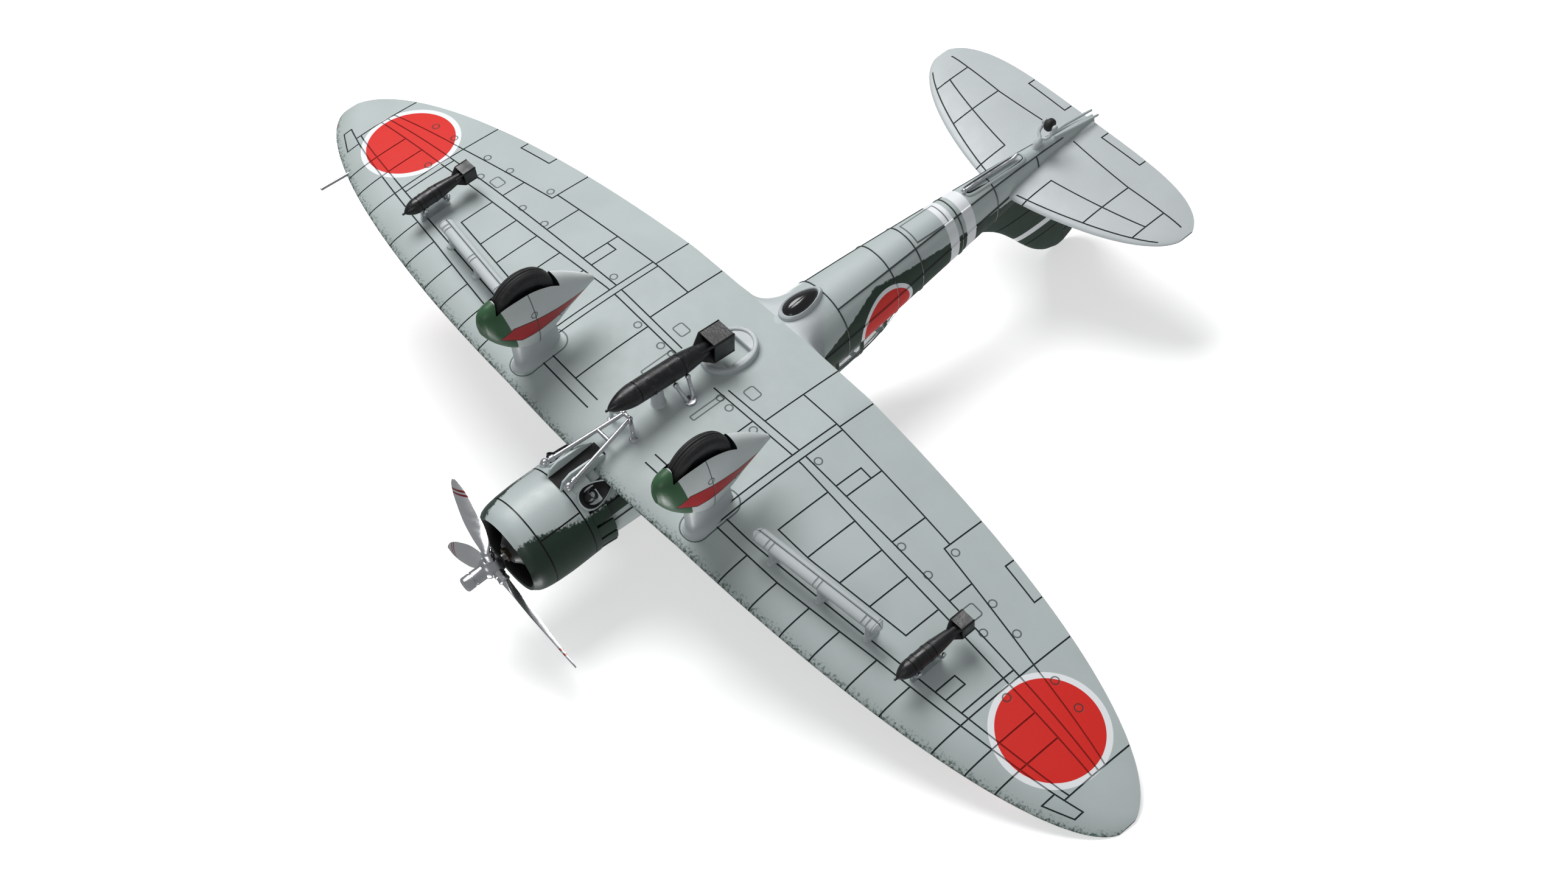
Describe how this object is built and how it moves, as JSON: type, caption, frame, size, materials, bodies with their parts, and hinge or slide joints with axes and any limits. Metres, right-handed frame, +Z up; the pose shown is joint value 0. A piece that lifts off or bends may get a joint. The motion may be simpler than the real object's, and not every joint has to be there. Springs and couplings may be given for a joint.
{
  "type": "propeller plane model",
  "caption": "Low-wing two-seat dive bomber display model with spatted wheels, bombs, dive brakes, stand socket, and a propeller and wheels that turn.",
  "frame": {"origin": "bottom centre of the whole model's box as it stands on its three wheels", "axes": "+X to the model's port wing tip, -Y towards the nose, +Z up"},
  "size_m": [0.1994, 0.1422, 0.0489],
  "materials": {
    "under_grey": "semi-matt light grey paint with dark washed panel lines",
    "upper_green": "semi-matt dark green paint",
    "engine_black": "satin black paint",
    "bomb_black": "satin black paint",
    "bare_silver": "bright silver finish",
    "steel": "plain steel pin",
    "brass": "turned brass",
    "glazing": "clear moulded plastic",
    "smoked_glass": "gloss black",
    "interior_green": "matt green",
    "red_lens": "gloss red paint",
    "green_lens": "gloss green paint",
    "tyre_black": "matt black"
  },
  "bodies": {
    "airframe": {"antenna_mast": "upper_green", "arrestor_hook": "bare_silver", "axle_port": "steel", "axle_starboard": "steel", "bomb_casing": "bomb_black", "bomb_crutch": "bare_silver", "bomb_fins": "bomb_black", "bomb_pylon": "under_grey", "bomb_rack_port": "bare_silver", "bomb_rack_starboard": "bare_silver", "bomb_rear_braces": "bare_silver", "brake_struts_port": "under_grey", "brake_struts_starboard": "under_grey", "canopy_glazing": "glazing", "cockpit_tub": "interior_green", "cowl_flaps": "upper_green", "cowling": "upper_green", "crew_seats": "interior_green", "dive_brake_port": "under_grey", "dive_brake_starboard": "under_grey", "engine_bulkhead": "engine_black", "engine_crankcase": "engine_black", "engine_cylinders": "engine_black", "exhaust_stubs": "engine_black", "fuselage_port": "upper_green", "fuselage_starboard": "upper_green", "gun_sight": "engine_black", "leg_fairing_port": "under_grey", "leg_fairing_starboard": "under_grey", "nav_light_port": "red_lens", "nav_light_starboard": "green_lens", "nose_belly_panel": "under_grey", "oil_cooler_scoop": "under_grey", "pitot_tube": "bare_silver", "rear_gun": "engine_black", "shaft_bush": "brass", "small_bomb_port": "bomb_black", "small_bomb_starboard": "bomb_black", "spat_inner_port": "under_grey", "spat_inner_starboard": "under_grey", "spat_outer_port": "under_grey", "spat_outer_starboard": "under_grey", "stand_socket": "under_grey", "tail_wheel": "tyre_black", "tail_wheel_axle": "steel", "tail_wheel_leg": "under_grey", "tailplane": "under_grey", "ventral_window": "smoked_glass", "ventral_window_frame": "under_grey", "wing_lower": "under_grey", "wing_upper_port": "upper_green", "wing_upper_starboard": "upper_green"},
    "propeller": {"prop_hub": "bare_silver", "prop_blades": "bare_silver", "prop_shaft": "steel", "shaft_collar": "steel"},
    "wheel_port": {"tyre_port": "tyre_black", "wheel_hub_port": "engine_black"},
    "wheel_starboard": {"tyre_starboard": "tyre_black", "wheel_hub_starboard": "engine_black"}
  },
  "joints": [
    {"name": "propeller_spin", "type": "hinge", "parent": "airframe", "child": "propeller", "pos_m": [0, -0.06534, 0.03516], "axis": [0, -0.9753, 0.2209], "continuous": true},
    {"name": "wheel_port_spin", "type": "hinge", "parent": "airframe", "child": "wheel_port", "pos_m": [0.022, -0.04344, 0.006], "axis": [1, 0, 0], "continuous": true},
    {"name": "wheel_starboard_spin", "type": "hinge", "parent": "airframe", "child": "wheel_starboard", "pos_m": [-0.022, -0.04344, 0.006], "axis": [1, 0, 0], "continuous": true}
  ]
}
